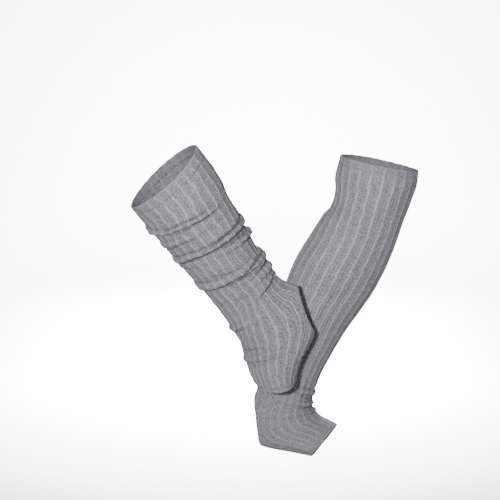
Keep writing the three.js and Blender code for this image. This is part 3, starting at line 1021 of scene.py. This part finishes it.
def knit_material(name):
    """Heather rib knit: stitches by wale and course, flecks of dark and light fibre, a painted highlight on
    the ribs and painted shade in folds, creases and the inner face.
    """
    n = KnitNodes(name)
    ridge = rib_ridge(n)
    stitch = stitch_pattern(n, ridge)
    thirds = n.math("PINGPONG", n.math("MULTIPLY", n.ribs, FINE_LINES_PER_RIB), 0.5)
    fine = n.math("SUBTRACT", 1.0, n.steps(thirds, 0.0, FINE_REACH))
    fine_share_here = n.share("fine")

    level = n.math("ADD", 1.0, n.swing(stitch, 0.5, STITCH_SWING))
    for label in ("flecks", "fibres", "mottle", "patches"):
        level = n.math("ADD", level, n.uneven(label))
    level = n.math("ADD", level, painted_rib_light(n, ridge, fine, fine_share_here))
    # Painted shade darkens the colour by the mesh's painted shading value; its negative values paint a
    # highlight
    in_folds = n.math("SUBTRACT", 1.0, n.math("MULTIPLY", n.share("fold"), FOLD_SHADE))
    level = n.math("MULTIPLY", n.math("MULTIPLY", level, in_folds), YARN_LEVEL, clamp=True)
    yarn = n.mix(n.steps(n.noise("hues"), *HUE_SPLIT), YARN_WARM, YARN_BLUE)
    n.put(n.shader.inputs["Base Color"], n.mix(level, YARN_DARK, yarn))

    height = n.math("ADD", n.math("MULTIPLY", stitch, STITCH_RELIEF),
                    n.math("MULTIPLY", n.noise("fibres"), FIBRE_RELIEF))
    height = n.math("ADD", height, n.math("MULTIPLY", fine, fine_share_here))
    relief = n.add("ShaderNodeBump")
    relief.inputs["Strength"].default_value = RELIEF_STRENGTH
    relief.inputs["Distance"].default_value = RELIEF_DEPTH * MM
    n.put(relief.inputs["Height"], height)
    n.put(n.shader.inputs["Normal"], relief.outputs["Normal"])
    for socket, value in YARN_FINISH.items():
        n.shader.inputs[socket].default_value = value
    return n.material


def add_camera():
    """The photograph's camera."""
    camera = bpy.data.cameras.new("camera")
    camera.lens = CAMERA_LENS
    camera.sensor_width = CAMERA_SENSOR
    camera.clip_end = CAMERA_REACH
    holder = bpy.data.objects.new("camera", camera)
    holder.location = CAMERA_PLACE
    holder.rotation_euler = (math.radians(CAMERA_PITCH), 0, 0)
    bpy.context.scene.collection.objects.link(holder)
    bpy.context.scene.camera = holder


def add_light(row):
    """A square light, whose spread is the angle in degrees that it shines into."""
    light = bpy.data.lights.new(row["name"], "AREA")
    light.size = row["size"]
    light.energy = row["energy"]
    light.spread = math.radians(row["spread"])
    holder = bpy.data.objects.new(row["name"], light)
    holder.location = row["place"]
    direction = np.array(row["aim"], float) - np.array(row["place"], float)
    flat = math.hypot(direction[0], direction[1])
    tilt = math.pi / 2 + math.atan2(direction[2], flat)
    turn = math.atan2(direction[1], direction[0]) - math.pi / 2
    holder.rotation_euler = (tilt, 0, turn)
    holder.visible_camera = row["in_view"]
    bpy.context.scene.collection.objects.link(holder)


def add_floor():
    """A pale floor below the pair that curves up into a pale wall."""
    bend_start = WALL_DISTANCE - FLOOR_BEND
    section = [(FLOOR_FRONT, FLOOR_HEIGHT), (bend_start, FLOOR_HEIGHT)]
    for k in range(1, BEND_STEPS + 1):
        turn = math.pi / 2 * k / BEND_STEPS
        rise = FLOOR_BEND * (1 - math.cos(turn))
        section.append((bend_start + FLOOR_BEND * math.sin(turn), FLOOR_HEIGHT + rise))
    section.append((WALL_DISTANCE, WALL_TOP))
    points = [(side, y, z) for side in (-FLOOR_HALF_WIDTH, FLOOR_HALF_WIDTH) for y, z in section]
    count = len(section)
    faces = [(k, count + k, count + k + 1, k + 1) for k in range(count - 1)]
    mesh = bpy.data.meshes.new("studio_floor")
    mesh.from_pydata(points, [], faces)
    mesh.polygons.foreach_set("use_smooth", [True] * len(mesh.polygons))
    floor = bpy.data.objects.new("studio_floor", mesh)
    bpy.context.scene.collection.objects.link(floor)
    # The pale floor and wall throw no light back on the cloth, whose edges the photograph shows dark
    floor.visible_diffuse = False
    paint = Nodes("studio_pale")
    paint.shader.inputs["Base Color"].default_value = FLOOR_COLOUR
    paint.shader.inputs["Roughness"].default_value = FLOOR_ROUGHNESS
    mesh.materials.append(paint.material)


def add_studio():
    """The floor and wall, a pale world and soft lights."""
    add_floor()
    world = bpy.data.worlds.new("studio")
    world.use_nodes = True
    background = world.node_tree.nodes["Background"]
    background.inputs["Color"].default_value = (1, 1, 1, 1)
    background.inputs["Strength"].default_value = WORLD_LIGHT
    bpy.context.scene.world = world
    for row in named_rows(LIGHT_COLUMNS, LIGHTS):
        add_light(row)


add_camera()
add_studio()
knit = knit_material("rib_knit")
band = knit_material("welt_knit")

for side, warmer in WARMERS.items():
    prepare(warmer)
    tube = knit_tube(side + "_tube", warmer)
    top = knit_welt(side + "_top_band", warmer, 0.0, TOP_WELT, True)
    foot = knit_welt(side + "_foot_band", warmer, warmer["length"], FOOT_WELT, False)
    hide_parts(*warmer["solids"])
    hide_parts(side + "_top_welt")
    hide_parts(side + "_foot_welt")
    for piece, material, slot in ((tube, knit, "knit"), (top, band, "welt"), (foot, band, "welt")):
        piece.data.materials.append(material)
        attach(piece, "root")
